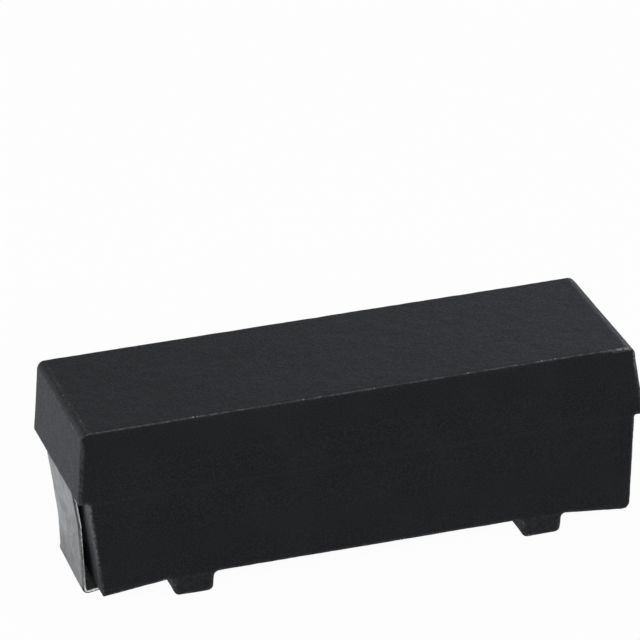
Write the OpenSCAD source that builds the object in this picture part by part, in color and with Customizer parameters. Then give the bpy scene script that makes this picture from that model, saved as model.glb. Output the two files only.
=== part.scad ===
// Moulded surface-mount power resistor with two formed strip terminals.
// Origin: middle of the body, on the plane of the rib feet. +X runs along the body, +Z is up,
// away from the board.

/* [Body] */
// Overall length over the lips of the upper half, before their edges are rounded
overall_l = 25; // [20:0.1:32]
// Width of the body at the parting line
body_w = 8.4; // [6.8:0.1:12]
// Height from the rib feet to the top face
overall_h = 8.2; // [6.8:0.1:11]
// Height of the parting line above the rib feet
parting_z = 5; // [4.1:0.1:6]
// How far the upper half overhangs the lower half at each end
overhang = 0.47; // [0.25:0.01:0.6]
// Draft of the upper half's end walls, in degrees
upper_end_draft = 6.6; // [2:0.1:9]
// Draft of the lower half's end walls, in degrees
lower_end_draft = 4.3; // [2:0.1:8]
// Draft of the long walls, in degrees
side_draft = 1.2; // [0.5:0.1:2.5]
// Radius along the two end edges of the top face
top_end_r = 0.35; // [0.1:0.05:0.5]
// Radius along the other outside edges
edge_r = 0.14; // [0.05:0.01:0.25]
// Radius along the upright edges of the lower half
low_edge_r = 0.06; // [0.02:0.01:0.2]
// Radius under the lip of the overhang
lip_r = 0.08; // [0.02:0.01:0.15]
// Height of the sloping web under the lip, at the two corners towards +Y
web_h = 0.65; // [0.3:0.05:1]

/* [Base] */
// Height of the ribs, which is also how high the base stands off the board
rib_h = 0.9; // [0.75:0.05:1.2]
// Distance from the end of the lip to the middle of the nearer rib
rib_setback = 4.7; // [3.9:0.1:6]
// Width of a rib across its tip
rib_w = 1.6; // [1:0.1:2.2]
// Draft of a rib's long walls, in degrees
rib_draft = 3.5; // [1:0.5:8]
// Draft of a rib's two ends, in degrees
rib_end_draft = 8; // [2:0.5:15]
// Radius round the tip of a rib
rib_tip_r = 0.2; // [0.05:0.05:0.4]
// Fillet where a rib joins the base
rib_fillet = 0.2; // [0.05:0.05:0.4]
// How much lower the base lies at its ends than between the ribs
end_drop = 0.35; // [0.1:0.05:0.4]
// Diameter of the blind hole in the base
hole_d = 3.6; // [2:0.1:5]
// Depth of the blind hole
hole_depth = 1; // [0.5:0.1:1.2]

/* [Terminals] */
// Thickness of the terminal strip
strip_t = 0.15; // [0.1:0.01:0.25]
// Width of the leg and the solder tab
strip_w = 4.7; // [3:0.1:6]
// Width of the strip inside the body
neck_w = 3; // [1.5:0.1:3.6]
// Inside radius of the sharp bends
bend_r = 0.1; // [0.05:0.01:0.2]
// Inside radius of the slight bend in the leg
waist_r = 2; // [0.5:0.5:4]
// Height of the slight bend in the leg
waist_z = 3.2; // [2.4:0.1:3.4]
// Gap between the leg and the end wall at that bend
leg_gap = 0.14; // [0.02:0.01:0.2]
// How far the leg's shoulder stays inside the edge of the lip
lip_cover = 0.1; // [0.05:0.01:0.15]
// Slope of the solder tab, rising towards the middle of the body, in degrees
tab_slope = 8; // [0:0.5:10]
// Gap between the end of the tab and the nearer rib
tab_gap = 0.75; // [0.4:0.05:1.5]
// Gap between the turned-up end of the tab and the base
tab_lip_gap = 0.05; // [0.02:0.01:0.2]
// Height of the flange that is welded to the end cap
weld_h = 1.3; // [0.8:0.1:1.5]

/* [Element] */
// Moulding left round the element, above the blind hole too
mould_wall = 1; // [0.8:0.05:1.2]
// Moulding between the element and the end of the lip
end_wall = 3.3; // [2.6:0.1:4]
// Diameter of the resistance wire
wire_d = 0.2; // [0.1:0.01:0.3]
// Distance between two turns of the wire
wire_pitch = 0.6; // [0.4:0.05:1.2]
// Wall of the pressed end caps
cap_wall = 0.2; // [0.1:0.01:0.25]
// How far an end cap reaches along the core
cap_l = 2; // [1.2:0.1:3]
// Rounding of the end caps
cap_r = 0.3; // [0.22:0.02:0.5]
// Chamfer at the ends of the ceramic core
core_chamfer = 0.2; // [0.05:0.05:0.3]
// Clearance between the pieces of the element, and round it
fit = 0.02; // [0.01:0.01:0.05]

/* [Hidden] */

arc_steps = 6;        // straight steps in each rounded corner
turn_steps = 16;      // straight steps in a turn of the wire
wire_sides = 6;
over = 1;             // how far a cutting tool reaches past what it cuts
root = 0.1;           // how deep what joins the body is sunk into it
neck_depth = 0.2;     // how deep inside the body the strip narrows

// Half lengths and widths of the body where its planes meet
base_z = rib_h;
end_z = base_z - end_drop;
lip_x = overall_l / 2;
top_x = lip_x - (overall_h - parting_z) * tan(upper_end_draft);
wall_x = lip_x - overhang;
end_x = wall_x - (parting_z - end_z) * tan(lower_end_draft);
side_y = body_w / 2;
top_y = side_y - (overall_h - parting_z) * tan(side_draft);
base_y = side_y - (parting_z - base_z) * tan(side_draft);

// Ribs
rib_x = lip_x - rib_setback;
rib_foot_w = rib_w + 2 * rib_h * tan(rib_draft);
slope_x = rib_x + rib_foot_w / 2;    // where the base begins to drop
function base_at(x) = base_z - end_drop * (x - slope_x) / (end_x - slope_x);

// Terminals, by the middle line of the strip
strip_z = parting_z - strip_t / 2;
leg_x = wall_x - (parting_z - waist_z) * tan(lower_end_draft) + leg_gap + strip_t / 2;
shoulder_x = lip_x - lip_cover - strip_t / 2;
tab_end_x = slope_x + tab_gap + strip_t / 2;
mid_r = bend_r + strip_t / 2;
// The outside of the bend at the foot of the leg just reaches the board
foot_z = bend_r + strip_t - mid_r * (1 + sin(tab_slope)) / cos(tab_slope);
tab_end_z = foot_z + (leg_x - tab_end_x) * tan(tab_slope);
tab_lip_z = base_at(tab_end_x + strip_t / 2) - tab_lip_gap;
neck_x = end_x - neck_depth;

// Element, along the middle of the body at the height of the parting line.
// The flat steps of the wire's turns clear the core, so its middle line lies a little further out.
element_l = overall_l - 2 * end_wall;
element_r = min(parting_z - base_z - hole_depth, overall_h - parting_z, side_y) - mould_wall;
step_sag = cos(180 / turn_steps);
wound_core_r = (element_r - wire_d / 2) * step_sag - wire_d / 2 - fit;
core_r = min(wound_core_r, element_r - cap_wall - fit);
helix_r = (core_r + fit + wire_d / 2) / step_sag;
core_l = element_l - 2 * (cap_wall + fit);
rim_x = element_l / 2 - cap_l;
turns = floor((2 * (rim_x - fit) - wire_d) / wire_pitch);

// Outlines with rounded corners. A vertex is [x, y, radius].

function unit(v) = v / norm(v);
function plane(v) = [v.x, v.y];
function cross2(u, v) = u.x * v.y - u.y * v.x;
function turned(v, a) = [v.x * cos(a) - v.y * sin(a), v.x * sin(a) + v.y * cos(a)];

// Points of the arc that rounds vertex b between its neighbours a and c
function corner(a, b, c) =
    let (u = unit(plane(a) - plane(b)), w = unit(plane(c) - plane(b)))
    b[2] == 0 || abs(cross2(u, w)) < 1e-9 ? [plane(b)] :
    let (half = acos(u * w) / 2,
         centre = plane(b) + unit(u + w) * b[2] / sin(half),
         start = plane(b) + u * b[2] / tan(half) - centre,
         sweep = (cross2(u, w) > 0 ? -1 : 1) * (180 - 2 * half))
    [for (i = [0:arc_steps]) centre + turned(start, sweep * i / arc_steps)];

function rounded(v) =
    let (n = len(v))
    [for (i = [0:n - 1]) each corner(v[(i + n - 1) % n], v[i], v[(i + 1) % n])];

function reversed(v) = [for (i = [len(v) - 1:-1:0]) v[i]];

// The right half of an outline, from bottom to top, with its mirror image
function both_sides(v) = concat(v, [for (p = reversed(v)) [-p.x, p.y, p[2]]]);

// One face of a bent strip, at distance d to the left of its middle line.
// A point of the middle line is [x, y, radius of the bend there].
function left_of(a, b) = let (u = unit(plane(b) - plane(a))) [-u.y, u.x];
function strip_face(path, d) =
    let (last = len(path) - 1)
    [for (i = [0:last])
        let (n1 = left_of(path[max(i - 1, 0)], path[max(i, 1)]),
             n2 = left_of(path[min(i, last - 1)], path[min(i + 1, last)]),
             p = plane(path[i]) + (n1 + n2) * d / (1 + n1 * n2),
             bend = cross2(n1, n2),
             r = abs(bend) < 1e-9 ? 0 : path[i][2] - d * sign(bend))
        [p.x, p.y, r]];
function strip(path, t) = rounded(concat(strip_face(path, t / 2), reversed(strip_face(path, -t / 2))));

// An outline drawn in X and Z, or in Y and Z, made solid across the body
module along_y(w) { rotate([90, 0, 0]) linear_extrude(w, center = true) children(); }
module along_x(l) { rotate([90, 0, 90]) linear_extrude(l, center = true) children(); }
module both_ends() { children(); mirror([1, 0, 0]) children(); }

// What is cut off to round a square edge. The edge runs up from the origin along Z, and the solid
// lies towards -X and -Y of it.
module edge_cut(l, r) {
    linear_extrude(l)
        polygon(concat(
            [[over, -r], [over, over], [-r, over]],
            [for (i = [arc_steps:-1:0]) turned([r, 0], 90 * i / arc_steps) - [r, r]]));
}

// The four upright edges of a half, from its outline x by y at the parting line
module upright_cuts(x, y, end_draft, rise, r) {
    lean = atan(tan(side_draft) * cos(end_draft));
    for (sx = [0, 1], sy = [0, 1])
        mirror([sx, 0, 0]) mirror([0, sy, 0])
            translate([x, y, 0]) rotate([lean, -end_draft, 0]) edge_cut(rise + over, r);
}

module upper_half() {
    difference() {
        intersection() {
            along_y(body_w)
                polygon(rounded(both_sides([[lip_x, parting_z, lip_r], [top_x, overall_h, top_end_r]])));
            along_x(overall_l)
                polygon(rounded(both_sides([[side_y, parting_z, 0], [top_y, overall_h, edge_r]])));
        }
        translate([0, 0, parting_z])
            upright_cuts(lip_x, side_y, upper_end_draft, overall_h - parting_z, edge_r);
    }
}

module lower_half() {
    low_y = side_y - (parting_z - end_z) * tan(side_draft);
    difference() {
        intersection() {
            along_y(body_w)
                polygon(rounded(both_sides([[slope_x, base_z, 0], [end_x, end_z, edge_r], [wall_x, parting_z, 0]])));
            along_x(overall_l)
                polygon(rounded(both_sides([[low_y, end_z, 0], [side_y, parting_z, 0]])));
        }
        translate([0, 0, parting_z]) mirror([0, 0, 1])
            upright_cuts(wall_x, side_y, lower_end_draft, parting_z - end_z, low_edge_r);
        for (sy = [0, 1]) mirror([0, sy, 0]) base_edge_cuts();
    }
}

// Rounding along one long edge of the base: level between the ribs, sloping beyond them
module base_edge_cuts() {
    slope = atan(end_drop / (end_x - slope_x));
    translate([-slope_x, base_y, base_z]) mirror([0, 0, 1]) rotate([90, 0, 90])
        edge_cut(2 * slope_x, edge_r);
    both_ends()
        translate([slope_x, base_y, base_z]) rotate([0, slope, 0])
            mirror([0, 0, 1]) rotate([90, 0, 90]) edge_cut(end_x - slope_x + over, edge_r);
}

// The web under the lip, at the corner towards +X and +Y
module lip_web() {
    web_x = wall_x - web_h * tan(lower_end_draft);
    web_y = strip_w / 2 + leg_gap;
    translate([0, (web_y + side_y - edge_r) / 2, 0]) along_y(side_y - edge_r - web_y)
        polygon([
            [web_x, parting_z - web_h], [lip_x - lip_r, parting_z], [lip_x - lip_r, parting_z + root],
            [web_x - root, parting_z + root], [web_x - root, parting_z - web_h]]);
}

module rib() {
    wing_x = rib_foot_w / 2 + rib_fillet + root;
    root_z = base_z + edge_r + root;
    intersection() {
        along_y(body_w)
            polygon(rounded(both_sides([
                [rib_w / 2, 0, rib_tip_r], [rib_foot_w / 2, base_z, rib_fillet],
                [wing_x, base_z, 0], [wing_x, root_z, 0]])));
        along_x(2 * wing_x)
            polygon(rounded(both_sides([
                [base_y - rib_h * tan(rib_end_draft), 0, rib_tip_r], [base_y, base_z, 0], [base_y, root_z, 0]])));
    }
}

// The room that the element takes inside the moulding
module element_room() {
    rotate([0, 90, 0]) translate([-parting_z, 0, 0])
        cylinder(r = element_r + fit, h = element_l + 2 * fit, center = true, $fn = 64);
}

module moulded_body() {
    color("#2b2c2e") difference() {
        union() {
            upper_half();
            lower_half();
            both_ends() lip_web();
            both_ends() translate([rib_x, 0, 0]) rib();
        }
        translate([0, 0, base_z - over]) cylinder(d = hole_d, h = hole_depth + over, $fn = 64);
        element_room();
        both_ends() formed_strip();
    }
}

// The right-hand terminal: weld flange, neck through the wall, shoulder under the lip, leg,
// solder tab, and the short turned-up end that stops just under the base
module formed_strip() {
    flange_x = element_l / 2 + fit + strip_t / 2;
    middle_line = [
        [flange_x, strip_z - weld_h, 0],
        [flange_x, strip_z, mid_r],
        [shoulder_x, strip_z, mid_r],
        [leg_x, waist_z, waist_r],
        [leg_x, foot_z, mid_r],
        [tab_end_x, tab_end_z, mid_r],
        [tab_end_x, tab_lip_z, 0]];
    difference() {
        along_y(strip_w) polygon(strip(middle_line, strip_t));
        for (sy = [0, 1]) mirror([0, sy, 0])
            translate([0, neck_w / 2, strip_z - weld_h - over]) cube([neck_x, strip_w, weld_h + 2 * over]);
    }
}

module terminal_right() { color("#b9b8b2") formed_strip(); }
module terminal_left() { color("#b9b8b2") mirror([1, 0, 0]) formed_strip(); }

module ceramic_core() {
    color("#e6e1d6") translate([0, 0, parting_z]) rotate([0, 90, 0])
        rotate_extrude($fn = 64)
            polygon([[0, -core_l / 2], [core_r - core_chamfer, -core_l / 2], [core_r, -core_l / 2 + core_chamfer],
                     [core_r, core_l / 2 - core_chamfer], [core_r - core_chamfer, core_l / 2], [0, core_l / 2]]);
}

// Resistance wire, wound on the core in one layer from cap to cap
module resistance_winding() {
    rings = turns * turn_steps;
    half_l = turns * wire_pitch / 2;
    points = [for (i = [0:rings], k = [0:wire_sides - 1])
        let (turn = 360 * i / turn_steps, side = 360 * k / wire_sides,
             r = helix_r + wire_d / 2 * cos(side),
             x = -half_l + wire_pitch * i / turn_steps + wire_d / 2 * sin(side))
        [x, r * cos(turn), parting_z + r * sin(turn)]];
    sides = [for (i = [0:rings - 1], k = [0:wire_sides - 1])
        let (a = i * wire_sides, b = a + wire_sides, m = (k + 1) % wire_sides)
        [a + k, b + k, b + m, a + m]];
    ends = [[for (k = [0:wire_sides - 1]) k], [for (k = [wire_sides - 1:-1:0]) rings * wire_sides + k]];
    color("#a08c78") polyhedron(points, concat(sides, ends));
}

// A pressed cup over the end of the core, open towards the middle of the body
module end_cap() {
    inner_r = core_r + fit;
    translate([rim_x, 0, parting_z]) rotate([0, 90, 0])
        rotate_extrude($fn = 64)
            polygon(rounded([
                [0, cap_l, 0], [0, cap_l - cap_wall, 0], [inner_r, cap_l - cap_wall, cap_r - cap_wall],
                [inner_r, 0, 0], [inner_r + cap_wall, 0, 0], [inner_r + cap_wall, cap_l, cap_r]]));
}

module end_cap_right() { color("#c9cac8") end_cap(); }
module end_cap_left() { color("#c9cac8") mirror([1, 0, 0]) end_cap(); }

moulded_body();
terminal_left();
terminal_right();
ceramic_core();
resistance_winding();
end_cap_left();
end_cap_right();
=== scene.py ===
"""Looks of a moulded surface-mount power resistor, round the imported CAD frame.

Shapes are worked out in millimetres and turned into metres when a mesh is made.
"""
import math

import bpy
import numpy as np
from mathutils import Matrix, Vector, noise


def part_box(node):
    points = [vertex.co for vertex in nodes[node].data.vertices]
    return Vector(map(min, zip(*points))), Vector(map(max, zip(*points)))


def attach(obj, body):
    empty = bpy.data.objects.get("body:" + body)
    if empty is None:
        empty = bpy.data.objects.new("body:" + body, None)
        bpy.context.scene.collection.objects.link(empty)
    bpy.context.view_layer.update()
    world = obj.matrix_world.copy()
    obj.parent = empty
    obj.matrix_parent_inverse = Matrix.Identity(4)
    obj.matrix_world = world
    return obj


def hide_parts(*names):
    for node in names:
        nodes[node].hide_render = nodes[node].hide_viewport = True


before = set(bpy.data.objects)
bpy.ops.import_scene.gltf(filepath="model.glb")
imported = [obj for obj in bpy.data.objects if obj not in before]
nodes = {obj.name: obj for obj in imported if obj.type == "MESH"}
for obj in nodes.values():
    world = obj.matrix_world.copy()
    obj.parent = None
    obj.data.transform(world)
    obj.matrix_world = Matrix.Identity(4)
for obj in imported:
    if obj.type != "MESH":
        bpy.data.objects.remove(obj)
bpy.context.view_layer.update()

MM = 0.001


def node_box(name):
    """A CAD node's lowest and highest corners, in millimetres."""
    low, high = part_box(name)
    return np.array(low) / MM, np.array(high) / MM


def tan(degrees):
    """The tangent of an angle in degrees."""
    return math.tan(math.radians(degrees))


# Sizes that the frame gives
BODY_LOW, BODY_HIGH = node_box("moulded_body")
STRIP_LOW, STRIP_HIGH = node_box("terminal_right")
CAP_LOW, CAP_HIGH = node_box("end_cap_right")
WIRE_HIGH = node_box("resistance_winding")[1]
HALF_W = BODY_HIGH[1]
TOP_Z = BODY_HIGH[2]
PARTING_Z = STRIP_HIGH[2]
STRIP_HALF_W = STRIP_HIGH[1]

# The moulding's other sizes in millimetres, and its drafts in degrees
LIP_X = 12.5  # before its edge is rounded
OVERHANG = 0.47
UPPER_END_DRAFT = 6.6
LOWER_END_DRAFT = 4.3
SIDE_DRAFT = 1.2
TOP_END_R = 0.35
TOP_SIDE_R = 0.055
UPRIGHT_R = 0.14
SHARPER_FROM = 0.7  # below the top, where the edges along the sides start to turn sharper
SHARPER_TO = 0.3
LOW_UPRIGHT_R = 0.045
LIP_R = 0.08
BASE_R = 0.1
WORN_END_R = 0.42
WEB_H = 0.65
RIB_H = 0.9
RIB_X = 7.72
RIB_HALF_W = 0.86
RIB_DRAFT = 3.5
RIB_END_DRAFT = 8
RIB_TIP_R = 0.25
RIB_FILLET = 0.2
END_DROP = 0.35
HOLE_R = 1.8
HOLE_DEPTH = 1.0
HOLE_FLOOR_R = 0.12
HOLE_RIM_R = 0.04
ROOM_FIT = 0.02

# How far a joined form reaches into its neighbour
RIB_OVERLAP = 1.0
LOWER_OVERLAP = 0.5
WEB_OVERLAP = 0.1

# Places that follow from those sizes
WALL_X = LIP_X - OVERHANG
BASE_Z = RIB_H
END_Z = BASE_Z - END_DROP
END_X = WALL_X - (PARTING_Z - END_Z) * tan(LOWER_END_DRAFT)
SLOPE_X = RIB_X + RIB_HALF_W + RIB_H * tan(RIB_DRAFT)
BASE_Y = HALF_W - (PARTING_Z - BASE_Z) * tan(SIDE_DRAFT)
WORN_CORNER = (LIP_X - (TOP_Z - PARTING_Z) * tan(UPPER_END_DRAFT), -HALF_W, TOP_Z)

# The strip's other sizes
STRIP_T = 0.15
NECK_HALF_W = 1.5
NECK_X = END_X - 0.2  # further in than this a strip is as narrow as its neck
FLANGE_RISE = 0.7  # from the underside of the cap to the strip's inner end
BEND_R = 0.1
WAIST_R = 2.0
WAIST_Z = 3.2
LEG_GAP = 0.14
TAB_SLOPE = 8
TAB_GAP = 0.75
TAB_LIP_GAP = 0.05
PRESSED_IN = 0.11  # how far one leg is pressed towards the body at one edge


# Fields: the distance from points to a surface, negative inside

def wall(along, limit, lean, draft):
    """A flat wall at limit, which leans outwards by the draft angle as lean grows."""
    slope = math.radians(draft)
    return (along - limit) * math.cos(slope) - lean * math.sin(slope)


def round_join(a, b, radius):
    """What lies inside both fields, with the edge where they meet rounded."""
    corner = np.hypot(np.maximum(a + radius, 0), np.maximum(b + radius, 0))
    return np.minimum(np.maximum(a, b), -radius) + corner


def fillet_join(a, b, radius):
    """What lies inside either field, with a fillet where they meet."""
    return -round_join(-a, -b, radius)


def ramp(value, start, end):
    """0 before start, 1 after end, and smooth between them."""
    t = np.clip((value - start) / (end - start), 0, 1)
    return t * t * (3 - 2 * t)


def bell(distance, width):
    """1 where the distance is 0, falling smoothly to almost 0 at twice the width."""
    return np.exp(-(distance / width) ** 2)


def upper_half(x, y, z):
    """The half above the parting line, which is sharper along the top of its sides than at its corners."""
    fall = np.maximum(z - PARTING_Z, 0)
    end = wall(x, LIP_X, -fall, UPPER_END_DRAFT)
    side = wall(y, HALF_W, -fall, SIDE_DRAFT)
    profile = round_join(end, z - TOP_Z, TOP_END_R)
    sharper = ramp(z, TOP_Z - SHARPER_FROM, TOP_Z - SHARPER_TO)
    side_r = UPRIGHT_R + (TOP_SIDE_R - UPRIGHT_R) * sharper
    return round_join(round_join(profile, side, side_r), PARTING_Z - z, LIP_R)


def base_profile(x, z):
    """The base with its rib, by distance from the middle and height."""
    level = BASE_Z - END_DROP * np.maximum(x - SLOPE_X, 0) / (END_X - SLOPE_X)
    rib_side = wall(np.abs(x - RIB_X), RIB_HALF_W, np.clip(z, 0, BASE_Z), RIB_DRAFT)
    rib = round_join(rib_side, -z, RIB_TIP_R)
    return fillet_join(level - z, np.maximum(rib, z - BASE_Z - RIB_OVERLAP), RIB_FILLET)


def lower_half(x, y, z, end_r):
    """The half below the parting line. end_r is the radius of the edge between end wall and base."""
    rise = np.abs(PARTING_Z - z)
    end = wall(x, WALL_X, -rise, LOWER_END_DRAFT)
    side = wall(y, HALF_W, -rise, SIDE_DRAFT)
    rib_end = wall(y, BASE_Y, z - BASE_Z, RIB_END_DRAFT)
    walls = round_join(end, np.maximum(side, rib_end), LOW_UPRIGHT_R)
    base = base_profile(x, z)
    half = np.maximum(round_join(walls, base, BASE_R), round_join(end, base, end_r))
    return np.maximum(half, z - PARTING_Z - LOWER_OVERLAP)


def lip_web(x, y, z):
    """The sloping web under the lip, on the side of +Y."""
    foot_x = WALL_X - WEB_H * tan(LOWER_END_DRAFT)
    run = LIP_X - LIP_R - foot_x
    slant = ((x - foot_x) * WEB_H - (z - PARTING_Z + WEB_H) * run) / math.hypot(run, WEB_H)
    near = STRIP_HALF_W + LEG_GAP - y
    far = y - HALF_W + UPRIGHT_R
    return np.maximum.reduce([slant, near, far, z - PARTING_Z - WEB_OVERLAP, PARTING_Z - WEB_H - z])


def moulding(points):
    """The whole moulded body, with the blind hole and the room for the element."""
    x, y, z = np.abs(points[:, 0]), points[:, 1], points[:, 2]
    side_y = np.abs(y)
    end_r = np.where(points[:, 0] > 0, WORN_END_R, BASE_R)
    body = np.minimum(upper_half(x, side_y, z), lower_half(x, side_y, z, end_r))
    body = np.minimum(body, lip_web(x, y, z))
    hole = round_join(np.hypot(x, y) - HOLE_R, z - BASE_Z - HOLE_DEPTH, HOLE_FLOOR_R)
    body = round_join(body, -hole, HOLE_RIM_R)
    room_r = WIRE_HIGH[1] + ROOM_FIT
    room = np.maximum(np.hypot(y, z - PARTING_Z) - room_r, x - CAP_HIGH[0] - ROOM_FIT)
    return np.maximum(body, -room)


def slopes(field, points, reach=0.01):
    """The field's gradient at each point."""
    columns = []
    for axis in range(3):
        shift = np.zeros(3)
        shift[axis] = reach
        columns.append((field(points + shift) - field(points - shift)) / (2 * reach))
    return np.stack(columns, axis=1)


# Meshing a field

def graded(low, high, features, fine, coarse, growth=0.22):
    """Places from low to high, close together near the features and far apart between them."""
    places = [low]
    while places[-1] < high:
        near = min(abs(places[-1] - feature) for feature in features)
        places.append(places[-1] + min(coarse, fine + growth * near))
    return np.array(places)


CELL_CORNERS = [(i, j, k) for i in (0, 1) for j in (0, 1) for k in (0, 1)]
CELL_EDGES = [(a, b) for a in range(8) for b in range(a + 1, 8)
              if sum(p != q for p, q in zip(CELL_CORNERS[a], CELL_CORNERS[b])) == 1]


def at_corner(array, corner):
    """A grid's values at one corner of every cell."""
    i, j, k = corner
    across, along, up = (n - 1 for n in array.shape[:3])
    return array[i:i + across, j:j + along, k:k + up]


def net_vertices(grid, values, active):
    """A vertex in each active cell, in the middle of the places where the surface crosses its edges."""
    total = np.zeros((active.sum(), 3))
    crossings = np.zeros(active.sum())
    for a, b in CELL_EDGES:
        value_a = at_corner(values, CELL_CORNERS[a])[active]
        value_b = at_corner(values, CELL_CORNERS[b])[active]
        place_a = at_corner(grid, CELL_CORNERS[a])[active]
        place_b = at_corner(grid, CELL_CORNERS[b])[active]
        crossed = (value_a < 0) != (value_b < 0)
        share = value_a[crossed] / (value_a[crossed] - value_b[crossed])
        total[crossed] += place_a[crossed] + share[:, None] * (place_b - place_a)[crossed]
        crossings[crossed] += 1
    return total / crossings[:, None]


def layer(axis, number):
    """The index of one whole layer of a grid, counted along an axis."""
    return tuple(number if a == axis else slice(None) for a in range(3))


def net_faces(inside, index):
    """A face through the four cells round each grid edge that crosses the surface, turned outwards."""
    faces = []
    for axis in range(3):
        side_1, side_2 = [a for a in range(3) if a != axis]
        changes = inside != np.roll(inside, -1, axis=axis)
        changes[layer(axis, -1)] = False
        for side in (side_1, side_2):
            changes[layer(side, 0)] = False
            changes[layer(side, -1)] = False
        at = np.stack(np.nonzero(changes), axis=1)
        ring = []
        for step_1, step_2 in ((-1, -1), (0, -1), (0, 0), (-1, 0)):
            cell = at.copy()
            cell[:, side_1] += step_1
            cell[:, side_2] += step_2
            ring.append(index[tuple(cell.T)])
        quads = np.stack(ring, axis=1)
        outward = inside[tuple(at.T)]
        if axis == 1:  # where the ring runs the other way round
            outward = ~outward
        quads[~outward] = quads[~outward][:, ::-1]
        faces.append(quads)
    return np.concatenate(faces)


def surface_net(field, places):
    """Vertices and four-sided faces of the surface where the field is zero.

    places says where the grid's planes lie along X, Y and Z."""
    grid = np.stack(np.meshgrid(*places, indexing="ij"), axis=-1)
    values = field(grid.reshape(-1, 3)).reshape(grid.shape[:3])
    inside = values < 0
    count = sum(at_corner(inside, corner).astype(int) for corner in CELL_CORNERS)
    active = (count > 0) & (count < len(CELL_CORNERS))
    index = np.full(active.shape, -1)
    index[active] = np.arange(active.sum())
    return net_vertices(grid, values, active), net_faces(inside, index)


def settle(field, points, rounds=3, least_steep=0.25):
    """Moves points onto the surface where the field is zero."""
    for _ in range(rounds):
        slope = slopes(field, points)
        steep = np.maximum((slope ** 2).sum(axis=1), least_steep)
        points = points - slope * (field(points) / steep)[:, None]
    return points


NOISE_SHIFT = 17.3  # from one seed's noise to the next one's


def noise_at(points, size, seed):
    """Smooth noise between about -1 and 1, with lumps of that size in millimetres."""
    shift = Vector.Fill(3, NOISE_SHIFT * seed)
    return np.array([noise.noise(Vector(p) / size + shift) for p in points])


def hollows(points, depth, size, seed):
    """Smooth hollows of that mean depth, with lumps of that size in millimetres."""
    return depth * (1 + noise_at(points, size, seed))


# Making objects

def make_object(name, vertices, faces, marks=()):
    """A smooth mesh object in metres. marks are (name, values) pairs, one value a vertex."""
    mesh = bpy.data.meshes.new(name)
    mesh.from_pydata((np.asarray(vertices) * MM).tolist(), [], [list(face) for face in faces])
    for label, values in marks:
        mark = mesh.attributes.new(label, "FLOAT", "POINT")
        mark.data.foreach_set("value", np.asarray(values, dtype=np.float32))
    mesh.shade_smooth()
    mesh.validate()
    item = bpy.data.objects.new(name, mesh)
    bpy.context.scene.collection.objects.link(item)
    return item


def place(item, node, slot, material):
    """Puts a finished piece in the place of a CAD node."""
    item.data.materials.append(material)
    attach(item, "root")
    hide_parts(node)


# The moulded body

# Its grid: the margin round it, and the smallest and largest steps along X, Y and Z
GRID_MARGIN = 0.2
STEPS_X = (0.045, 0.16)
STEPS_Y = (0.05, 0.2)
STEPS_Z = (0.045, 0.2)

# Its wear and the light painted on it, as shares of the full effect
LOW_EDGE_WEAR = 0.55
LESS_AT_ENDS = 0.55  # how much less the top's edges are rubbed at the ends
# The next five are painted light on the end walls and rib ends; the one after them is wear at one top
# corner
LOW_WALL_PAINTED_LIGHT = 0.05
LOW_CORNER_PAINTED_LIGHT = 0.33
HIGH_WALL_PAINTED_SHEEN = 0.075
HIGH_RIM_PAINTED_HIGHLIGHT = 0.14
RIB_END_PAINTED_REFLECTION = 0.02
WORN_CORNER_SCUFF = 0.5

# Where it is worn and where light is painted on it, in millimetres. A pair of values says where an effect
# starts and where it is full.
TOP_EDGE_H = 0.4  # from the top down to where its worn edges end
SKIN = (-0.07, -0.02)
UNDER_LIP = (0.01, 0.03)
LOW_CORNER_H = (0.6, 4)
LOW_CORNER_REACH = 0.7
LOW_CORNER_FULL = 0.25
WIDER_BY = 0.7  # how much wider the painted light beside the corner gets on its way up
WIDENING_H = (2.8, 4.4)
RIM_BELOW_TOP = 0.33
RIM_WIDTH = 0.06
RIB_END_FADE = (-0.1, 0.2)  # from the base
WORN_CORNER_FADE = (0.4, 1.6)

# The same for the X and Z parts of a normal
TOWARDS_END = (0.1, 0.4)
FACING_UP = (0.15, 0.6)

# Its chips, and the broken rim of the blind hole, in millimetres
CHIP_DEPTH = 0.012
BROKEN_DEPTH = 0.05
BROKEN_WIDTH = 0.15
BROKEN_H = 0.2


def edge_mark(points, reach=0.09):
    """1 along a sharp outside edge and 0 on flats and in hollows, by how strongly the surface bends."""
    rise = -6 * moulding(points)
    for axis in range(3):
        shift = np.zeros(3)
        shift[axis] = reach
        rise += moulding(points + shift) + moulding(points - shift)
    return np.clip(rise / reach ** 2 / 6, 0, 1)


def wear_mark(points, normals, edge):
    """Where edges are rubbed light: the upper part of the top's edges, and the others less."""
    on_top = ramp(points[:, 2], TOP_Z - TOP_EDGE_H, TOP_Z - SHARPER_TO)
    along_side = 1 - LESS_AT_ENDS * ramp(np.abs(normals[:, 0]), *TOWARDS_END)
    facing_up = ramp(normals[:, 2], *FACING_UP)
    return edge * (on_top * along_side * facing_up + LOW_EDGE_WEAR * (1 - on_top))


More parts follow.
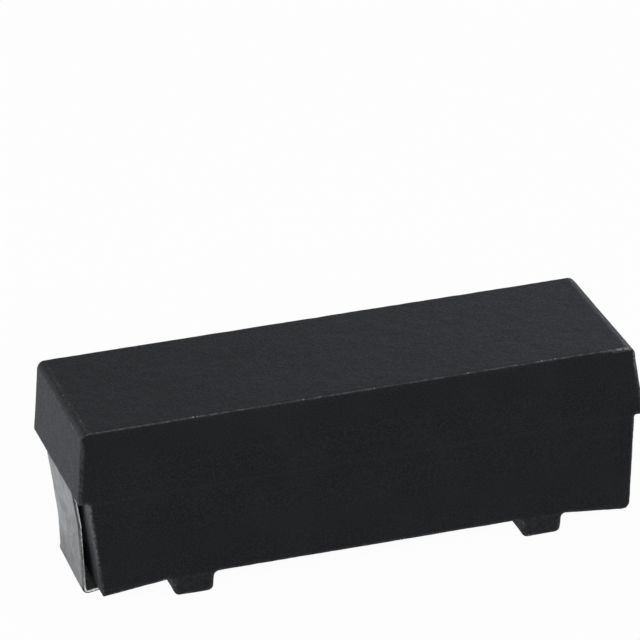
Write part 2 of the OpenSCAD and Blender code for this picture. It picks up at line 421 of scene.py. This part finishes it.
def painted_light_and_wear_mark(points, edge):
    """How much light is painted on the skin, and how much one top corner is worn light.

    Painted light on the lower end walls, most near their upright corners where the leg's shadow ends; a
    painted sheen on the upper end walls with a painted highlight along their rim; a painted reflection on
    the rib ends. One top corner is worn light too."""
    x, y, z = np.abs(points[:, 0]), np.abs(points[:, 1]), points[:, 2]
    below = ramp(PARTING_Z - z, *UNDER_LIP)
    low_wall = ramp(wall(x, WALL_X, z - PARTING_Z, LOWER_END_DRAFT), *SKIN) * below
    high_wall = ramp(wall(x, LIP_X, PARTING_Z - z, UPPER_END_DRAFT), *SKIN) * (1 - below)
    reach = LOW_CORNER_REACH + WIDER_BY * ramp(z, *WIDENING_H)
    corner = ramp(y, BASE_Y - reach, BASE_Y - LOW_CORNER_FULL) * ramp(z, *LOW_CORNER_H)
    rim = bell(z - TOP_Z + RIM_BELOW_TOP, RIM_WIDTH)
    # Painted light on the lower end walls, strongest in a strip by each upright corner beside the leg's
    # shadow
    walls = low_wall * (LOW_WALL_PAINTED_LIGHT + LOW_CORNER_PAINTED_LIGHT * corner)
    # Painted sheen on the upper end walls, and a painted highlight along their rim
    walls += high_wall * (HIGH_WALL_PAINTED_SHEEN + HIGH_RIM_PAINTED_HIGHLIGHT * rim)
    low, high = BASE_Z + RIB_END_FADE[0], BASE_Z + RIB_END_FADE[1]
    rib_end = (1 - ramp(z, low, high)) * (np.abs(x - RIB_X) < RIB_HALF_W)
    from_corner = np.linalg.norm(points - WORN_CORNER, axis=1)
    worn_corner = 1 - ramp(from_corner, *WORN_CORNER_FADE)
    # Painted reflection on the rib ends, and real wear at one top corner
    return walls + RIB_END_PAINTED_REFLECTION * rib_end + WORN_CORNER_SCUFF * edge * worn_corner


def on_both_sides(places):
    """The places and their mirror images."""
    return [side * place for side in (-1, 1) for place in places]


def body_grid():
    """Where the planes of the body's grid lie along X, Y and Z: closest together at its edges."""
    edges_x = on_both_sides((LIP_X, WALL_X, END_X, RIB_X, SLOPE_X, HOLE_R))
    edges_y = on_both_sides((HALF_W, HOLE_R, STRIP_HALF_W))
    edges_z = (0, END_Z, BASE_Z, BASE_Z + HOLE_DEPTH, PARTING_Z - WEB_H, PARTING_Z, TOP_Z)
    return [
        graded(-LIP_X - GRID_MARGIN, LIP_X + GRID_MARGIN, edges_x, *STEPS_X),
        graded(-HALF_W - GRID_MARGIN, HALF_W + GRID_MARGIN, edges_y, *STEPS_Y),
        graded(-GRID_MARGIN, TOP_Z + GRID_MARGIN, edges_z, *STEPS_Z),
    ]


def body_relief(points, edge):
    """How deep the skin lies: slight waves, chips along the edges, and a broken rim at the blind hole."""
    x, y, z = points.T
    relief = hollows(points, depth=0.005, size=3.5, seed=0)
    relief += hollows(points, depth=0.003, size=1.1, seed=1)
    chips = CHIP_DEPTH * np.maximum(noise_at(points, size=0.3, seed=3), 0)
    relief += edge * (hollows(points, depth=0.01, size=0.6, seed=2) + chips)
    hole_rim = bell(np.hypot(x, y) - HOLE_R, BROKEN_WIDTH) * bell(z - BASE_Z, BROKEN_H)
    broken = hole_rim * BROKEN_DEPTH * ramp(x, 0, HOLE_R)
    return relief + broken * (1 + noise_at(points, size=0.35, seed=4))


def make_body():
    """The moulded body: its net is settled, sunk by the relief, and marked where it is worn and where
    light is painted on it.
    """
    vertices, faces = surface_net(moulding, body_grid())
    vertices = settle(moulding, vertices)
    normals = slopes(moulding, vertices)
    normals /= np.linalg.norm(normals, axis=1)[:, None]
    edge = edge_mark(vertices)
    vertices = vertices - normals * body_relief(vertices, edge)[:, None]
    vertices = np.clip(vertices, BODY_LOW, BODY_HIGH)
    marks = [("wear", wear_mark(vertices, normals, edge)), ("painted_light_and_wear", painted_light_and_wear_mark(vertices, edge))]
    return make_object("body_moulding", vertices, faces, marks)


# The terminals

# Their mesh: the steps along the line, and the rows across it
LINE_STEP = 0.06
BEND_STEP = 0.17  # the largest turn between two places on a bend, in radians
SAME_PLACE = 1e-4
INNER_START = 0.24  # how far in from a strip's edge its inner rows start
INNER_STEP = 0.13

# How far in from a strip's edge its painted highlight, painted shade and unevenness reach, and how strong
# the painted light is
TORN_HIGHLIGHT_BAND = 0.05
ROLLED_SHADE_BAND = 0.16
UNEVEN_BAND = 0.16
MARK_ON_LEG = 0.2
MORE_ON_TAB = 0.8
MORE_AT_TOP = 0.5
TAB_FADE_Z = (0.2, 0.5)
LEG_FADE_Z = (1.6, 3.4)

# The swell of the strips outside the body, and where the pressed leg starts and stops to give
SWELL = 0.004
OUTSIDE_Z = PARTING_Z - 0.4
PRESSED_START_Z = (-0.1, 0.4)
PRESSED_END_Z = (1.6, WAIST_Z)
PRESSED_Y = (-1.2, STRIP_HALF_W)


def unit(way):
    """A direction's vector of length 1."""
    return way / np.linalg.norm(way)


def to_left(way):
    """A direction turned to the left by a right angle."""
    return np.array([-way[1], way[0]])


def straight(a, b, way):
    """Places from a to b, each with the direction to its left."""
    count = max(2, round(np.linalg.norm(b - a) / LINE_STEP))
    return [(a + (b - a) * i / count, to_left(way)) for i in range(count + 1)]


def bend(a, way, turn, radius):
    """Places between the ends of a bend that starts at a, each with the direction to its left."""
    centre = a + to_left(way) * np.sign(turn) * radius
    count = max(3, round(abs(turn) * radius / LINE_STEP), round(abs(turn) / BEND_STEP))
    places = []
    for i in range(1, count):
        cos, sin = math.cos(turn * i / count), math.sin(turn * i / count)
        spin = np.array([[cos, -sin], [sin, cos]])
        places.append((centre + spin @ (a - centre), spin @ to_left(way)))
    return places


def bent_line(corners):
    """Places and left-hand directions along a line of straights and round bends, from its corners.

    A corner is (x, z, radius of the bend)."""
    places = [np.array(corner[:2], float) for corner in corners]
    radii = [corner[2] for corner in corners[1:-1]]
    line = []
    start = places[0]
    for before, here, after, radius in zip(places, places[1:], places[2:], radii):
        way_in, way_out = unit(here - before), unit(after - here)
        turn = math.atan2(way_in[0] * way_out[1] - way_in[1] * way_out[0], way_in @ way_out)
        reach = radius * math.tan(abs(turn) / 2)
        line += straight(start, here - way_in * reach, way_in)
        line += bend(here - way_in * reach, way_in, turn, radius)
        start = here + way_out * reach
    line += straight(start, places[-1], unit(places[-1] - start))

    points, lefts = (np.array(column) for column in zip(*line))
    apart = np.linalg.norm(points[1:] - points[:-1], axis=1) > SAME_PLACE
    kept = np.concatenate([[True], apart])
    return points[kept], lefts[kept]


def strip_corners():
    """The corners of the right-hand terminal's middle line, as x, z and the radius of each bend."""
    mid_r = BEND_R + STRIP_T / 2
    strip_z = PARTING_Z - STRIP_T / 2
    flange_x = STRIP_LOW[0] + STRIP_T / 2
    shoulder_x = STRIP_HIGH[0] - STRIP_T / 2
    leg_x = WALL_X - (PARTING_Z - WAIST_Z) * tan(LOWER_END_DRAFT) + LEG_GAP + STRIP_T / 2
    tilt = math.radians(TAB_SLOPE)
    foot_z = BEND_R + STRIP_T - mid_r * (1 + math.sin(tilt)) / math.cos(tilt)
    tab_end_x = SLOPE_X + TAB_GAP + STRIP_T / 2
    tab_end_z = foot_z + (leg_x - tab_end_x) * tan(TAB_SLOPE)
    drop = END_DROP * (tab_end_x + STRIP_T / 2 - SLOPE_X) / (END_X - SLOPE_X)
    return [
        (flange_x, CAP_LOW[2] + FLANGE_RISE, 0),
        (flange_x, strip_z, mid_r),
        (shoulder_x, strip_z, mid_r),
        (leg_x, WAIST_Z, WAIST_R),
        (leg_x, foot_z, mid_r),
        (tab_end_x, tab_end_z, mid_r),
        (tab_end_x, BASE_Z - drop - TAB_LIP_GAP, 0),
    ]


def sheared_edge():
    """The outline of a strip's edge, from one face to the other.

    Each point is (distance in from the edge, share of half the thickness). The face with the burr
    is at +1, and the face that the punch rolled over is at -1."""
    rolled = [(0.14, -1), (0.09, -0.97), (0.05, -0.88), (0.02, -0.72), (0.004, -0.5)]
    torn = [(0, -0.2), (0.006, 0.1), (0.012, 0.4), (0.006, 0.7)]
    burr = [(0.002, 0.9), (0.004, 1), (0.02, 1.0), (0.05, 1)]
    return rolled + torn + burr


def strip_section():
    """The outline all round a strip. Each point is (side, distance in from that side's edge, share)."""
    inner = np.arange(INNER_START, STRIP_HALF_W, INNER_STEP)
    half = [(depth, -1) for depth in inner[::-1]] + sheared_edge() + [(depth, 1) for depth in inner]
    there = [(1, depth, share) for depth, share in half]
    back = [(-1, depth, share) for depth, share in half[::-1]]
    return there + back


def painted_edge_light_mark(depth, share, z):
    """The light painted on a strip's edge: up to 1 on the torn band, a painted highlight, and down to -1
    on the rolled band, a painted shade.

    Both are strongest on the solder tab and weakest low on the leg."""
    strength = MARK_ON_LEG + MORE_ON_TAB * (1 - ramp(z, *TAB_FADE_Z)) + MORE_AT_TOP * ramp(z, *LEG_FADE_Z)
    # Painted highlight on the torn band
    torn = ramp(share, -0.3, 0) * max(0, 1 - depth / TORN_HIGHLIGHT_BAND)
    # Painted shade on the rolled band
    rolled = ramp(-share, 0.1, 0.4) * max(0, 1 - depth / ROLLED_SHADE_BAND)
    return strength * (torn - rolled)


def strip_surface(line, lefts, section):
    """A strip's vertices along its line, with how near each is to an edge and the light painted on that
    edge.
    """
    vertices, edge, painted_edge_light = [], [], []
    for (x, z), left in zip(line, lefts):
        in_body = x < NECK_X and z > WAIST_Z
        narrowed = (NECK_HALF_W if in_body else STRIP_HALF_W) / STRIP_HALF_W
        for side, depth, share in section:
            out = -share * STRIP_T / 2
            y = side * (STRIP_HALF_W - depth) * narrowed
            vertices.append((x + left[0] * out, y, z + left[1] * out))
            edge.append(max(0.0, 1 - depth / UNEVEN_BAND))
            painted_edge_light.append(painted_edge_light_mark(depth, share, z))
    return np.array(vertices), np.array(edge), painted_edge_light


def tube_faces(rows, width):
    """Faces between rows of vertices, each of them a closed ring, and one face over each end."""
    faces = []
    for i in range(rows - 1):
        for j in range(width):
            k = (j + 1) % width
            faces.append((i * width + j, i * width + k, (i + 1) * width + k, (i + 1) * width + j))
    faces.append(tuple(reversed(range(width))))
    faces.append(tuple((rows - 1) * width + j for j in range(width)))
    return faces


def press_in(vertices):
    """Presses the lower part of a leg towards the body, most at its edge towards +Y."""
    y, z = vertices[:, 1], vertices[:, 2]
    low_on_leg = ramp(z, *PRESSED_START_Z) * (1 - ramp(z, *PRESSED_END_Z))
    vertices[:, 0] -= PRESSED_IN * low_on_leg * ramp(y, *PRESSED_Y)


def make_terminal(name, seed, mirrored):
    """One formed strip with uneven punched edges that carry painted light, and a slight swell. A mirrored
    one is pressed in too.
    """
    line, lefts = bent_line(strip_corners())
    section = strip_section()
    vertices, edge, painted_edge_light = strip_surface(line, lefts, section)
    faces = tube_faces(len(line), len(section))

    uneven = hollows(vertices, depth=0.012, size=0.16, seed=seed)
    uneven += hollows(vertices, depth=0.01, size=0.5, seed=seed + 1)
    vertices[:, 1] -= np.sign(vertices[:, 1]) * edge * uneven
    outside = vertices[:, 2] < OUTSIDE_Z
    vertices[:, 0] += SWELL * noise_at(vertices, size=1.3, seed=seed + 2) * outside
    if mirrored:
        press_in(vertices)
        vertices[:, 0] *= -1
        faces = [tuple(reversed(face)) for face in faces]
    vertices = np.clip(vertices, *node_box(name))
    return make_object(name + "_strip", vertices, faces, [("painted_edge_light", painted_edge_light)])


# Materials

class Tree:
    """A material's nodes, made and joined in one call each."""

    def __init__(self, name):
        self.material = bpy.data.materials.new(name)
        self.material.use_nodes = True
        self.nodes = self.material.node_tree.nodes
        self.links = self.material.node_tree.links
        self.shader = self.nodes["Principled BSDF"]
        self.coords = self.nodes.new("ShaderNodeTexCoord").outputs["Object"]

    def join(self, source, target):
        """Joins an output to an input, or sets the input to a number or a colour."""
        if isinstance(source, (int, float, tuple)):
            target.default_value = source
        else:
            self.links.new(source, target)

    def noise(self, size, detail=2.0, roughness=0.5, stretch=(1, 1, 1), distortion=0.0):
        """Noise with lumps of that size in millimetres, drawn out by stretch along X, Y and Z."""
        mapping = self.nodes.new("ShaderNodeMapping")
        mapping.inputs["Scale"].default_value = tuple(1 / (size * MM * s) for s in stretch)
        self.links.new(self.coords, mapping.inputs["Vector"])
        texture = self.nodes.new("ShaderNodeTexNoise")
        texture.inputs["Scale"].default_value = 1.0
        texture.inputs["Detail"].default_value = detail
        texture.inputs["Roughness"].default_value = roughness
        texture.inputs["Distortion"].default_value = distortion
        self.links.new(mapping.outputs["Vector"], texture.inputs["Vector"])
        return texture.outputs["Fac"]

    def spots(self, size):
        """Scattered cells of that size in millimetres: distance from their middle, and a random value."""
        texture = self.nodes.new("ShaderNodeTexVoronoi")
        texture.inputs["Scale"].default_value = 1 / (size * MM)
        self.links.new(self.coords, texture.inputs["Vector"])
        return texture.outputs["Distance"], texture.outputs["Color"]

    def attribute(self, name):
        """A value that the mesh carries at each vertex."""
        node = self.nodes.new("ShaderNodeAttribute")
        node.attribute_name = name
        return node.outputs["Fac"]

    def spread(self, value, from_low, from_high, to_low=0.0, to_high=1.0):
        """Stretches a range of values to another range, and clamps it."""
        node = self.nodes.new("ShaderNodeMapRange")
        self.join(value, node.inputs["Value"])
        node.inputs["From Min"].default_value = from_low
        node.inputs["From Max"].default_value = from_high
        node.inputs["To Min"].default_value = to_low
        node.inputs["To Max"].default_value = to_high
        return node.outputs["Result"]

    def times(self, a, b):
        """The product of two values."""
        node = self.nodes.new("ShaderNodeMath")
        node.operation = "MULTIPLY"
        self.join(a, node.inputs[0])
        self.join(b, node.inputs[1])
        return node.outputs["Value"]

    def mix(self, share, a, b):
        """A colour between a and b."""
        node = self.nodes.new("ShaderNodeMix")
        node.data_type = "RGBA"
        self.join(share, node.inputs[0])
        self.join(a, node.inputs[6])
        self.join(b, node.inputs[7])
        return node.outputs[2]

    def bump(self, *layers):
        """Bumps stacked on each other. A layer is (height, depth in millimetres)."""
        normal = None
        for height, depth in layers:
            node = self.nodes.new("ShaderNodeBump")
            node.inputs["Distance"].default_value = depth * MM
            self.links.new(height, node.inputs["Height"])
            if normal is not None:
                self.links.new(normal, node.inputs["Normal"])
            normal = node.outputs["Normal"]
        self.links.new(normal, self.shader.inputs["Normal"])


def linear(level):
    """A channel's linear value from its display level between 0 and 255."""
    share = level / 255
    return share / 12.92 if share <= 0.04045 else ((share + 0.055) / 1.055) ** 2.4


def tone(level, blue=0.0, red=0.0):
    """A linear colour from a grey's display level, with more or less blue and red."""
    return (linear(level + red), linear(level), linear(level + blue), 1.0)


def add_specks(tree, colour, cloud, wear):
    """Light specks on rubbed edges, in groups."""
    distance, random = tree.spots(0.2)
    speck = tree.times(tree.spread(distance, 0.3, 0.16), tree.spread(random, 0.54, 0.64))
    speck = tree.times(speck, tree.spread(wear, 0.2, 0.4))
    return tree.mix(tree.times(speck, tree.spread(cloud, 0.38, 0.5)), colour, tone(136, 4))


def small_pits(tree, painted_light_and_wear):
    """1 in a few small pits within the painted light and the worn corner, and 0 elsewhere."""
    distance, random = tree.spots(0.7)
    pit = tree.times(tree.spread(distance, 0.14, 0.08), tree.spread(random, 0.7, 0.72, 0, 0.85))
    return tree.times(pit, tree.spread(painted_light_and_wear, 0.02, 0.04))


def moulding_compound():
    """Matt black filled epoxy: mottled, grained and rubbed light, with painted light on its end walls and
    rib ends, specks, and a few pits painted near black as shade.
    """
    tree = Tree("moulding_compound")
    cloud = tree.noise(2.2, detail=3)
    patch = tree.noise(0.7, detail=2)
    grain = tree.noise(0.06, detail=1, roughness=0.6)
    rub = tree.noise(0.2, detail=3, roughness=0.6)
    fine_rub = tree.noise(0.1, detail=2)
    wear = tree.attribute("wear")
    painted_light_and_wear = tree.attribute("painted_light_and_wear")
    colour = tree.mix(tree.spread(cloud, 0.35, 0.65), tone(21.5, 1, -0.5), tone(25.5, 1.5, -0.5))
    colour = tree.mix(tree.spread(grain, 0.4, 0.75, 0, 0.6), colour, tone(44, 3, -1))
    rubbed = tree.times(wear, tree.spread(rub, 0.4, 0.64, 0.3, 1))
    colour = tree.mix(rubbed, colour, tone(90, 2))
    # Painted light on the end walls and rib ends, with wear at one top corner, mixed in as a light tone
    painted_light_and_wear_share = tree.times(painted_light_and_wear, tree.spread(rub, 0.38, 0.58, 0.25, 1))
    painted_light_and_wear_share = tree.times(painted_light_and_wear_share, tree.spread(fine_rub, 0.38, 0.62, 0.1, 1.3))
    colour = tree.mix(painted_light_and_wear_share, colour, tone(168, 2))
    colour = add_specks(tree, colour, cloud, wear)
    pit = small_pits(tree, painted_light_and_wear)
    # The pits are painted near black: a painted shade in their hollows
    colour = tree.mix(pit, colour, tone(8))
    tree.join(colour, tree.shader.inputs["Base Color"])
    tree.join(tree.spread(grain, 0.3, 0.7, 0.55, 0.43), tree.shader.inputs["Roughness"])
    tree.shader.inputs["Specular IOR Level"].default_value = 0.08
    tree.bump((patch, 0.016), (grain, 0.01), (pit, -0.05))
    return tree.material


def tinned_strip():
    """Matt tin plate: cloudy, stained and blotched grey, with light flakes and fine grain, a painted
    highlight on the torn band of its edges and a painted shade on the rolled band.
    """
    tree = Tree("tinned_strip")
    cloud = tree.noise(0.9, detail=4, roughness=0.6)
    flake = tree.noise(0.3, detail=4, roughness=0.7, distortion=0.6)
    mottle = tree.noise(0.16, detail=3, roughness=0.6)
    grain = tree.noise(0.08, detail=2, roughness=0.6)
    stain = tree.noise(1.8, detail=3, distortion=0.8)
    colour = tree.mix(tree.spread(cloud, 0.35, 0.65), tone(107, -4, 1), tone(134, -3, 1))
    colour = tree.mix(tree.spread(stain, 0.48, 0.64, 0, 0.5), colour, tone(120, -10, 3))
    colour = tree.mix(tree.spread(flake, 0.52, 0.64, 0, 0.36), colour, tone(178))
    colour = tree.mix(tree.spread(mottle, 0.54, 0.72, 0, 0.55), colour, tone(90, -3, 1))
    colour = tree.mix(tree.spread(grain, 0.52, 0.68, 0, 0.5), colour, tone(186, -2))
    painted_edge_light = tree.attribute("painted_edge_light")
    # Painted highlight on the torn band of the edges, near white
    torn = tree.times(painted_edge_light, tree.spread(mottle, 0.36, 0.56, 0.35, 1.2))
    colour = tree.mix(tree.spread(torn, 0.1, 0.9), colour, tone(248))
    # Painted shade on the rolled band of the edges
    colour = tree.mix(tree.spread(painted_edge_light, -0.1, -0.7), colour, tone(48))
    tree.join(colour, tree.shader.inputs["Base Color"])
    tree.shader.inputs["Metallic"].default_value = 0.85
    tree.join(tree.spread(cloud, 0.3, 0.7, 0.48, 0.36), tree.shader.inputs["Roughness"])
    tree.bump((cloud, 0.02), (flake, 0.012), (mottle, 0.008), (grain, 0.004))
    return tree.material


def core_ceramic():
    """Unglazed fired ceramic: warm white, chalky, with a fine tooth."""
    tree = Tree("core_ceramic")
    cloud = tree.noise(1.2, detail=3)
    grain = tree.noise(0.08, detail=3)
    colour = tree.mix(tree.spread(cloud, 0.3, 0.7), tone(224, -12), tone(238, -8))
    colour = tree.mix(tree.spread(grain, 0.6, 0.8, 0, 0.4), colour, tone(198, -16))
    tree.join(colour, tree.shader.inputs["Base Color"])
    tree.join(tree.spread(grain, 0.3, 0.7, 0.85, 0.7), tree.shader.inputs["Roughness"])
    tree.bump((grain, 0.01))
    return tree.material


def plain_metal(name, dark, light, rough_low, rough_high, stretch):
    """Metal with a slight cloud, and with fine draw marks along one direction."""
    tree = Tree(name)
    cloud = tree.noise(0.8, detail=3)
    lines = tree.noise(0.04, detail=2, stretch=stretch)
    colour = tree.mix(tree.spread(cloud, 0.3, 0.7), dark, light)
    tree.join(colour, tree.shader.inputs["Base Color"])
    tree.shader.inputs["Metallic"].default_value = 1.0
    tree.join(tree.spread(lines, 0.3, 0.7, rough_high, rough_low), tree.shader.inputs["Roughness"])
    tree.bump((lines, 0.003))
    return tree.material


# Camera, as the photograph was taken: angles in degrees, places in millimetres

CAMERA_AZIMUTH = 14.568
CAMERA_ELEVATION = 23.406
CAMERA_ROLL = -3.060
CAMERA_DISTANCE = 228.37
CAMERA_TARGET = (-0.563, 0.0, 9.851)
FOCAL_PIXELS = 5363.0
FRAME_PIXELS = 640
SENSOR_W = 36
CLIP_NEAR = 10
CLIP_FAR = 10000


def make_camera():
    """A long lens at the photograph's viewing angle, with the photograph's slight roll."""
    azimuth, elevation = math.radians(CAMERA_AZIMUTH), math.radians(CAMERA_ELEVATION)
    level = math.cos(elevation)
    back = Vector((-math.sin(azimuth) * level, -math.cos(azimuth) * level, math.sin(elevation)))
    camera = bpy.data.objects.new("camera", bpy.data.cameras.new("camera"))
    bpy.context.scene.collection.objects.link(camera)
    camera.data.sensor_width = SENSOR_W
    camera.data.lens = SENSOR_W * FOCAL_PIXELS / FRAME_PIXELS
    camera.data.clip_start = CLIP_NEAR * MM
    camera.data.clip_end = CLIP_FAR * MM
    roll = Matrix.Rotation(math.radians(CAMERA_ROLL), 3, "Z")
    camera.rotation_euler = (back.to_track_quat("Z", "Y").to_matrix() @ roll).to_euler()
    camera.location = (Vector(CAMERA_TARGET) + back * CAMERA_DISTANCE) * MM
    bpy.context.scene.camera = camera


# Stage and light. Places, sizes and aim of the lights are in metres, and their power is in watts.

WHITE = (1, 1, 1, 1)
COOL = (0.9, 0.935, 1, 1)
BLUISH = (0.83, 0.88, 1)
LIGHT_AIM = (0, 0, 0.004)
WORLD_LEVEL = 0.17

# What reflections show of the backdrop: bright at the horizon, dark above it, and less towards +X
BACKDROP_RISE = (0.12, 0.5)
BACKDROP_ABOVE = 0.0
BACKDROP_END = (0.3, 0.65)
BACKDROP_BEYOND = 0.15

# The floor, and the distances in millimetres over which its painted shade round the object in reflections
# gives way to full light
FLOOR_HALF_W = 3.0
FLOOR_COLOUR = (0.33, 0.335, 0.34, 1)
FLOOR_SEEN = (0.9, 0.9, 0.9, 1)
FLOOR_ROUGHNESS = 0.9
FLOOR_GLOW = 0.96
FLOOR_IN_GLOSS = 1.0
FLOOR_IN_SHADE = 0.3
SHADE_X = (10.5, 15)
SHADE_Y = (1.5, 4.5)


def area_light(name, location, side, watts, colour=(1, 1, 1)):
    """A square lamp that shines at the object."""
    lamp = bpy.data.lights.new(name, "AREA")
    lamp.shape = "SQUARE"
    lamp.size = side
    lamp.energy = watts
    lamp.color = colour
    item = bpy.data.objects.new(name, lamp)
    bpy.context.scene.collection.objects.link(item)
    item.location = location
    item.rotation_euler = (Vector(location) - Vector(LIGHT_AIM)).to_track_quat("Z", "Y").to_euler()


def make_lights():
    """One lamp in front, a weak one above, and fills behind and at the sides."""
    area_light("top_light", (0.05, 0.0, 0.5), side=0.4, watts=0.15)
    area_light("back_right_light", (0.3, 0.42, 0.2), side=0.3, watts=0.42, colour=BLUISH)
    area_light("front_light", (-0.06, -0.5, 0.3), side=0.3, watts=2.0)
    area_light("right_fill_light", (0.45, -0.28, 0.25), side=0.3, watts=1.2)
    area_light("back_left_fill_light", (-0.42, 0.3, 0.22), side=0.3, watts=0.85)


def stage_node(tree, kind, *values, **settings):
    """A node with its inputs joined in order. A value is a socket, a number or a colour."""
    node = tree.nodes.new(kind)
    for name, value in settings.items():
        setattr(node, name, value)
    for target, value in zip(node.inputs, values):
        if isinstance(value, bpy.types.NodeSocket):
            tree.links.new(value, target)
        else:
            target.default_value = value
    return node


def two_colours(tree, share, a, b):
    """A colour that goes from a to b as the share grows."""
    node = stage_node(tree, "ShaderNodeMix", share, data_type="RGBA")
    node.inputs[6].default_value = a
    node.inputs[7].default_value = b
    return node.outputs[2]


def stage_maths(tree, operation, *values):
    """The result of a calculation with one or two values."""
    return stage_node(tree, "ShaderNodeMath", *values, operation=operation).outputs[0]


def seen_white(tree, plain, camera_share, glossy_share):
    """Mixes a shader with white light for the camera, and with less and cooler light for reflections."""
    path = tree.nodes.new("ShaderNodeLightPath")
    tint = two_colours(tree, path.outputs["Is Camera Ray"], COOL, WHITE)
    glow = stage_node(tree, "ShaderNodeEmission", tint, 1.0)
    by_camera = stage_maths(tree, "MULTIPLY", path.outputs["Is Camera Ray"], camera_share)
    by_gloss = stage_maths(tree, "MULTIPLY", path.outputs["Is Glossy Ray"], glossy_share)
    through = stage_maths(tree, "MULTIPLY", path.outputs["Is Transmission Ray"], camera_share)
    most = stage_maths(tree, "MAXIMUM", stage_maths(tree, "MAXIMUM", by_camera, by_gloss), through)
    return stage_node(tree, "ShaderNodeMixShader", most, plain, glow.outputs[0]).outputs[0]


def make_world():
    """Dim above, and as bright as the floor near the horizon, like a backdrop behind and to the left."""
    world = bpy.data.worlds.new("world")
    bpy.context.scene.world = world
    world.use_nodes = True
    tree = world.node_tree
    plain = tree.nodes["Background"]
    plain.inputs["Color"].default_value = COOL
    plain.inputs["Strength"].default_value = WORLD_LEVEL
    coords = tree.nodes.new("ShaderNodeTexCoord")
    way = stage_node(tree, "ShaderNodeSeparateXYZ", coords.outputs["Generated"])
    height = stage_node(tree, "ShaderNodeMapRange", way.outputs["Z"], *BACKDROP_RISE,
                        FLOOR_IN_GLOSS, BACKDROP_ABOVE)
    end = stage_node(tree, "ShaderNodeMapRange", way.outputs["X"], *BACKDROP_END, 1, BACKDROP_BEYOND)
    share = stage_maths(tree, "MULTIPLY", height.outputs[0], end.outputs[0])
    seen = seen_white(tree, plain.outputs[0], 1.0, share)
    tree.links.new(seen, tree.nodes["World Output"].inputs["Surface"])


def floor_white():
    """White to the camera, greyer for the light it throws back, and painted darker near the object in
    gloss, a painted shade for the floor under and beside the body.
    """
    material = bpy.data.materials.new("floor_white")
    material.use_nodes = True
    tree = material.node_tree
    shader = tree.nodes["Principled BSDF"]
    path = tree.nodes.new("ShaderNodeLightPath")
    paint = two_colours(tree, path.outputs["Is Camera Ray"], FLOOR_COLOUR, FLOOR_SEEN)
    tree.links.new(paint, shader.inputs["Base Color"])
    shader.inputs["Roughness"].default_value = FLOOR_ROUGHNESS
    shader.inputs["Specular IOR Level"].default_value = 0.0
    # Painted shade: the floor seen in reflections is darker near the object, fading out over SHADE_X and
    # SHADE_Y
    coords = tree.nodes.new("ShaderNodeTexCoord")
    on_floor = stage_node(tree, "ShaderNodeSeparateXYZ", coords.outputs["Object"])
    clear = []
    for axis, (start, end) in (("X", SHADE_X), ("Y", SHADE_Y)):
        off = stage_maths(tree, "ABSOLUTE", on_floor.outputs[axis])
        clear.append(stage_node(tree, "ShaderNodeMapRange", off, start * MM, end * MM).outputs[0])
    clear = stage_maths(tree, "MAXIMUM", *clear)
    share = stage_node(tree, "ShaderNodeMapRange", clear, 0, 1, FLOOR_IN_SHADE, FLOOR_IN_GLOSS)
    seen = seen_white(tree, shader.outputs[0], FLOOR_GLOW, share.outputs[0])
    tree.links.new(seen, tree.nodes["Material Output"].inputs["Surface"])
    return material


def make_floor():
    """A floor that looks white and keeps a soft shadow."""
    mesh = bpy.data.meshes.new("floor")
    corners = [(FLOOR_HALF_W * x, FLOOR_HALF_W * y, 0) for x, y in ((-1, -1), (1, -1), (1, 1), (-1, 1))]
    mesh.from_pydata(corners, [], [(0, 1, 2, 3)])
    floor = bpy.data.objects.new("floor", mesh)
    bpy.context.scene.collection.objects.link(floor)
    mesh.materials.append(floor_white())


# What is built, in order

make_camera()
make_world()
make_floor()
make_lights()

compound = moulding_compound()
tin = tinned_strip()
place(make_body(), "moulded_body", "moulding_compound", compound)
for strip_name, strip_seed, is_mirrored in (("terminal_left", 20, True), ("terminal_right", 30, False)):
    place(make_terminal(strip_name, strip_seed, is_mirrored), strip_name, "tinned_strip", tin)

wire = plain_metal("resistance_wire", tone(120, -14), tone(158, -18), 0.3, 0.45, stretch=(1, 10, 10))
cap_steel = plain_metal("cap_steel", tone(170, -3), tone(196, -2), 0.25, 0.4, stretch=(10, 1, 1))
inner_finishes = {
    "ceramic_core": core_ceramic(),
    "resistance_winding": wire,
    "end_cap_left": cap_steel,
    "end_cap_right": cap_steel,
}
for node_name, finish in inner_finishes.items():
    nodes[node_name].data.materials.clear()
    nodes[node_name].data.materials.append(finish)

bpy.context.scene.view_settings.view_transform = "Standard"
